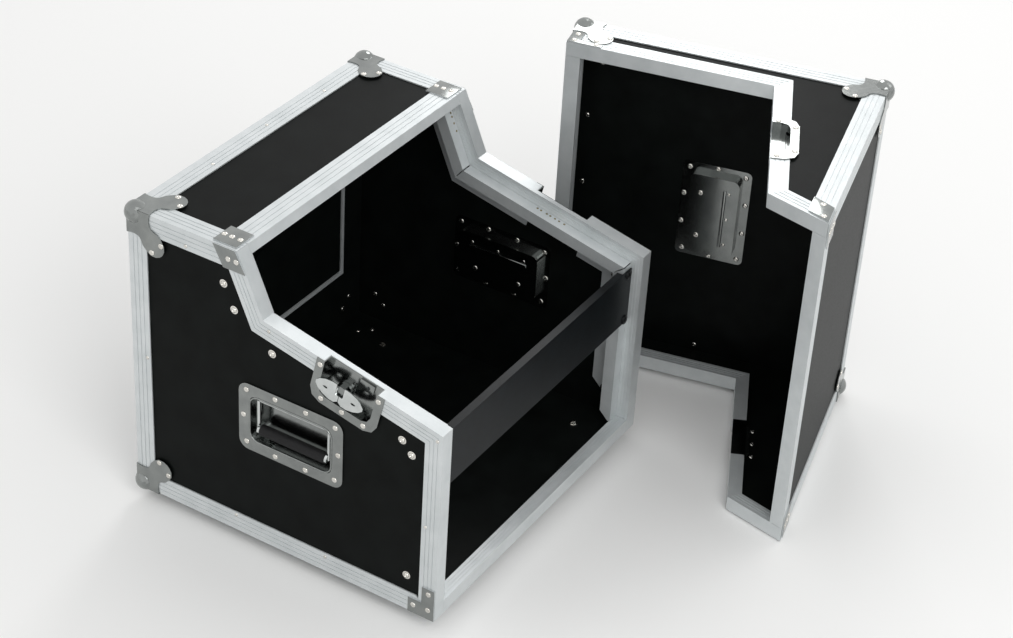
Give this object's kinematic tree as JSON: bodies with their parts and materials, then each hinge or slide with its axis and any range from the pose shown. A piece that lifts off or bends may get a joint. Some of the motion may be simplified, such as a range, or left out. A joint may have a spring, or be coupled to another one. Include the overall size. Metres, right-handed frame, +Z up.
{
  "type": "slant top rack case",
  "caption": "Slant-top road rack case in black laminate with aluminium edging, rack rails, recessed handles and butterfly latches; its lid is lifted off and stands on its side.",
  "frame": {"origin": "centre of the underside of the bounding box of base and lid together", "axes": "+X to the user's right, +Z up, the open front of the base faces -Y"},
  "size_m": [0.8332, 0.7946, 0.5458],
  "materials": {
    "black_laminate": "satin",
    "satin_aluminium": "satin",
    "plated_steel": "satin",
    "polished_chrome": "polished",
    "rail_aluminium": "satin",
    "blank_panel_paint": "satin",
    "foot_rubber": "matte"
  },
  "bodies": {
    "base": {"base_side_left": "black_laminate", "base_side_right": "black_laminate", "base_bottom": "black_laminate", "base_top": "black_laminate", "base_back": "black_laminate", "base_trim_left": "satin_aluminium", "base_trim_right": "satin_aluminium", "base_rim_left": "satin_aluminium", "base_rim_right": "satin_aluminium", "base_trim_top_front": "satin_aluminium", "base_trim_bottom_front": "satin_aluminium", "base_trim_rear_top": "satin_aluminium", "base_trim_rear_bottom": "satin_aluminium", "hatch_frame": "satin_aluminium", "base_ball_top_left": "plated_steel", "base_ball_top_right": "plated_steel", "base_ball_bottom_left": "plated_steel", "base_ball_bottom_right": "plated_steel", "base_handle_left_dish": "plated_steel", "base_handle_right_dish": "plated_steel", "latch_left_dish": "plated_steel", "latch_right_dish": "plated_steel", "rail_left": "rail_aluminium", "rail_right": "rail_aluminium", "blank_panel": "blank_panel_paint", "foot_front_left": "foot_rubber", "foot_front_right": "foot_rubber", "foot_rear_left": "foot_rubber", "foot_rear_right": "foot_rubber"},
    "lid": {"lid_side_left": "black_laminate", "lid_side_right": "black_laminate", "lid_front": "black_laminate", "lid_top": "black_laminate", "lid_trim_left": "satin_aluminium", "lid_trim_right": "satin_aluminium", "lid_rim_left": "satin_aluminium", "lid_rim_right": "satin_aluminium", "lid_trim_bottom_front": "satin_aluminium", "lid_trim_top_front": "satin_aluminium", "lid_rim_top": "satin_aluminium", "lid_rim_bottom": "satin_aluminium", "lid_ball_top_left": "plated_steel", "lid_ball_top_right": "plated_steel", "lid_ball_bottom_left": "plated_steel", "lid_ball_bottom_right": "plated_steel", "lid_handle_dish": "plated_steel", "keeper_left": "plated_steel", "keeper_right": "plated_steel"},
    "handle_left": {"base_handle_left_bail": "polished_chrome"},
    "handle_right": {"base_handle_right_bail": "polished_chrome"},
    "hatch": {"hatch_door": "black_laminate"},
    "hub_left": {"latch_left_hub": "plated_steel"},
    "hub_right": {"latch_right_hub": "plated_steel"},
    "hook_left": {"latch_left_hook": "plated_steel"},
    "hook_right": {"latch_right_hook": "plated_steel"},
    "ear_rear_left": {"latch_left_ear_rear": "polished_chrome"},
    "ear_front_left": {"latch_left_ear_front": "polished_chrome"},
    "ear_rear_right": {"latch_right_ear_rear": "polished_chrome"},
    "ear_front_right": {"latch_right_ear_front": "polished_chrome"},
    "lid_bail": {"lid_handle_bail": "polished_chrome"}
  },
  "joints": [
    {"name": "lid_lift", "type": "slide", "parent": "base", "child": "lid", "axis": [0, 0, 1], "range_m": [0, 0.6]},
    {"name": "handle_left_swing", "type": "hinge", "parent": "base", "child": "handle_left", "pos_m": [-0.39988, 0.12902, 0.253], "axis": [0, 1, 0], "range_deg": [0, 90], "stiffness_Nm_per_rad": 0.25, "springref_deg": -34.38},
    {"name": "handle_right_swing", "type": "hinge", "parent": "base", "child": "handle_right", "pos_m": [0.11252, 0.12902, 0.253], "axis": [0, -1, 0], "range_deg": [0, 90], "stiffness_Nm_per_rad": 0.25, "springref_deg": -34.38},
    {"name": "lid_handle_swing", "type": "hinge", "parent": "lid", "child": "lid_bail", "pos_m": [0.35393, -0.11931, 0.27295], "axis": [0.0164, 0.0037, -0.9999], "range_deg": [0, 90], "stiffness_Nm_per_rad": 0.25, "springref_deg": -34.38},
    {"name": "hatch_swing", "type": "hinge", "parent": "base", "child": "hatch", "pos_m": [0.06282, 0.39192, 0.2335], "axis": [0, 0, -1], "range_deg": [0, 110]},
    {"name": "latch_left_turn", "type": "hinge", "parent": "base", "child": "hub_left", "pos_m": [-0.40868, 0.05085, 0.32345], "axis": [-1, 0, 0], "range_deg": [0, 180]},
    {"name": "latch_left_ear_rear_fold", "type": "hinge", "parent": "hub_left", "child": "ear_rear_left", "pos_m": [-0.40888, 0.0571, 0.32483], "axis": [0, -0.2151, 0.9766], "range_deg": [0, 90]},
    {"name": "latch_left_ear_front_fold", "type": "hinge", "parent": "hub_left", "child": "ear_front_left", "pos_m": [-0.40888, 0.0446, 0.32208], "axis": [0, 0.2151, -0.9766], "range_deg": [0, 90]},
    {"name": "latch_left_hook_slide", "type": "slide", "parent": "base", "child": "hook_left", "axis": [0, -0.2151, 0.9766], "range_m": [0, 0.0099]},
    {"name": "latch_right_turn", "type": "hinge", "parent": "base", "child": "hub_right", "pos_m": [0.12132, 0.05085, 0.32345], "axis": [1, 0, 0], "range_deg": [0, 180]},
    {"name": "latch_right_ear_rear_fold", "type": "hinge", "parent": "hub_right", "child": "ear_rear_right", "pos_m": [0.12152, 0.0571, 0.32483], "axis": [0, 0.2151, -0.9766], "range_deg": [0, 90]},
    {"name": "latch_right_ear_front_fold", "type": "hinge", "parent": "hub_right", "child": "ear_front_right", "pos_m": [0.12152, 0.0446, 0.32208], "axis": [0, -0.2151, 0.9766], "range_deg": [0, 90]},
    {"name": "latch_right_hook_slide", "type": "slide", "parent": "base", "child": "hook_right", "axis": [0, -0.2151, 0.9766], "range_m": [0, 0.0099]}
  ],
  "couplings": [
    {"joint": "latch_left_turn", "follows": "latch_left_hook_slide", "rad_per_m": 317.33},
    {"joint": "latch_right_turn", "follows": "latch_right_hook_slide", "rad_per_m": 317.33}
  ]
}
